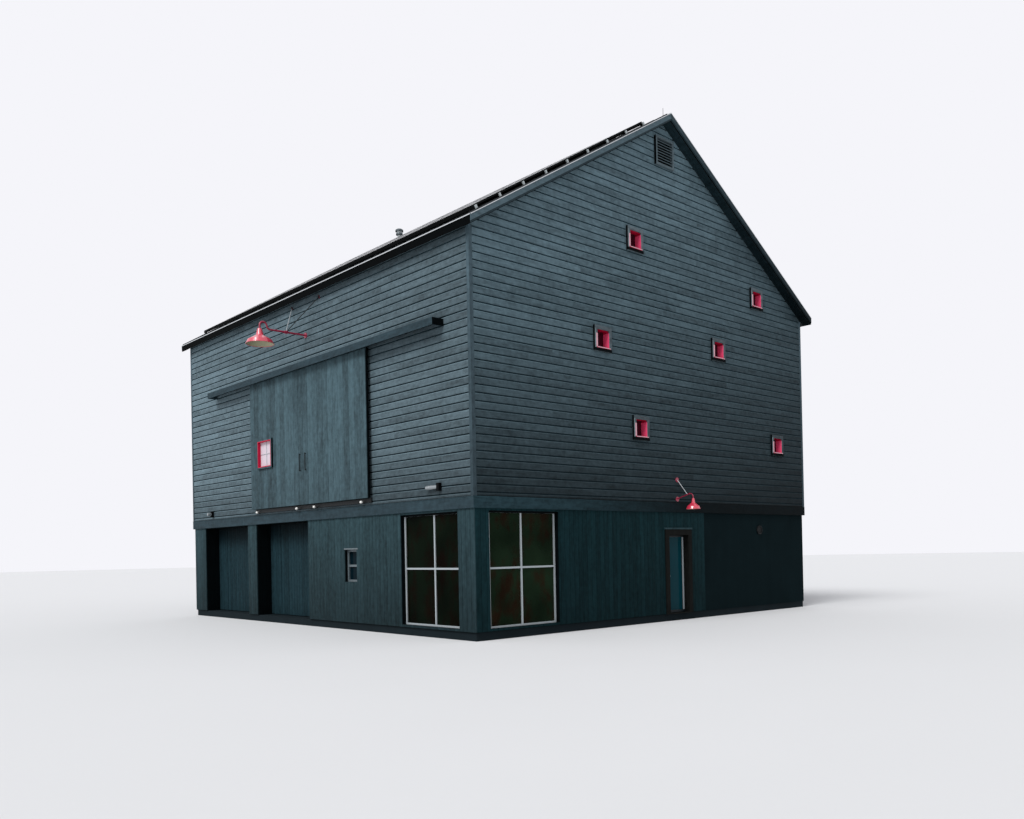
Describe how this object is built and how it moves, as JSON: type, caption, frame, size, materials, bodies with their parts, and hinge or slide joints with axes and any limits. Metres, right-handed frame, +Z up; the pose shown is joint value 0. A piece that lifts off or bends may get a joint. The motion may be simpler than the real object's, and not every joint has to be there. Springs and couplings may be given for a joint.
{
  "type": "timber barn with sliding doors",
  "caption": "Two-storey timber barn with a gabled metal roof, sliding doors over garage doors, small square gable windows, corner windows and gooseneck lamps.",
  "frame": {"origin": "centre of the foundation's underside, at ground level", "axes": "+Z up, X across the gables with the front at -X, Y along the eaves with the near gable, which has the entrance door, at -Y"},
  "size_m": [15.3174, 15.6149, 13.4981],
  "materials": {
    "concrete": "cast concrete, matt",
    "painted_concrete": "concrete, dark painted",
    "dark_boards": "dark stained boards",
    "floor_timber": "plain sawn timber",
    "roof_metal": "dark coated sheet metal",
    "dark_trim": "dark stained trim",
    "door_boards": "dark stained boards",
    "black_iron": "black",
    "track_steel": "dark paint",
    "white_nylon": "white",
    "red_paint_wood": "crimson paint",
    "dark_glass": "clear, dark room behind",
    "grey_aluminium": "satin grey",
    "grey_frame": "satin",
    "clear_glass": "clear",
    "door_casing": "dark brown stain",
    "entrance_paint": "dark satin paint",
    "teal_glass": "blue-green tint",
    "handle_steel": "satin",
    "red_lamp_paint": "gloss red enamel",
    "bulb_glass": "frosted",
    "flood_white": "white paint",
    "solar_glass": "blue-black cells under glass",
    "rail_aluminium": "mill finish",
    "dark_pipe": "dark paint",
    "black_plastic": "black"
  },
  "bodies": {
    "building": {"foundation_slab": "concrete", "foundation_wall": "painted_concrete", "front_lower_wall": "dark_boards", "corner_post": "dark_boards", "garage_piers": "dark_boards", "gable_lower_wall_left": "dark_boards", "gable_lower_wall_right": "dark_boards", "gable_lower_wall_strips": "dark_boards", "upper_floor": "floor_timber", "front_wall": "dark_boards", "back_wall": "dark_boards", "gable_wall": "dark_boards", "far_gable_wall": "dark_boards", "front_roof": "roof_metal", "back_roof": "roof_metal", "ridge_cap": "roof_metal", "roof_edge_boards": "dark_trim", "corner_boards": "dark_trim", "belt_board": "dark_trim", "track_hood": "dark_trim", "sliding_door_left": "door_boards", "sliding_door_right": "door_boards", "garage_doors": "door_boards", "sliding_door_handles": "black_iron", "door_track": "track_steel", "door_guides": "white_nylon", "gable_window_casings": "dark_trim", "gable_window_liners": "red_paint_wood", "gable_window_glass": "dark_glass", "louvre_vents": "dark_trim", "corner_window_frames": "grey_aluminium", "small_window_frames": "grey_frame", "window_glass": "clear_glass", "door_frame": "door_casing", "lamp_arms": "red_lamp_paint", "lamp_shades": "red_lamp_paint", "lamp_bulbs": "bulb_glass", "flood_lights": "flood_white", "solar_panels": "solar_glass", "panel_rails": "rail_aluminium", "vent_pipe": "dark_pipe", "wall_vent": "black_plastic"},
    "door": {"entrance_door": "entrance_paint", "entrance_door_glass": "teal_glass", "entrance_door_handle": "handle_steel"}
  },
  "joints": [
    {"name": "entrance_door_hinge", "type": "hinge", "parent": "building", "child": "door", "pos_m": [0.732, -7.106, 1.2], "axis": [0, 0, -1], "range_deg": [0, 100]}
  ]
}
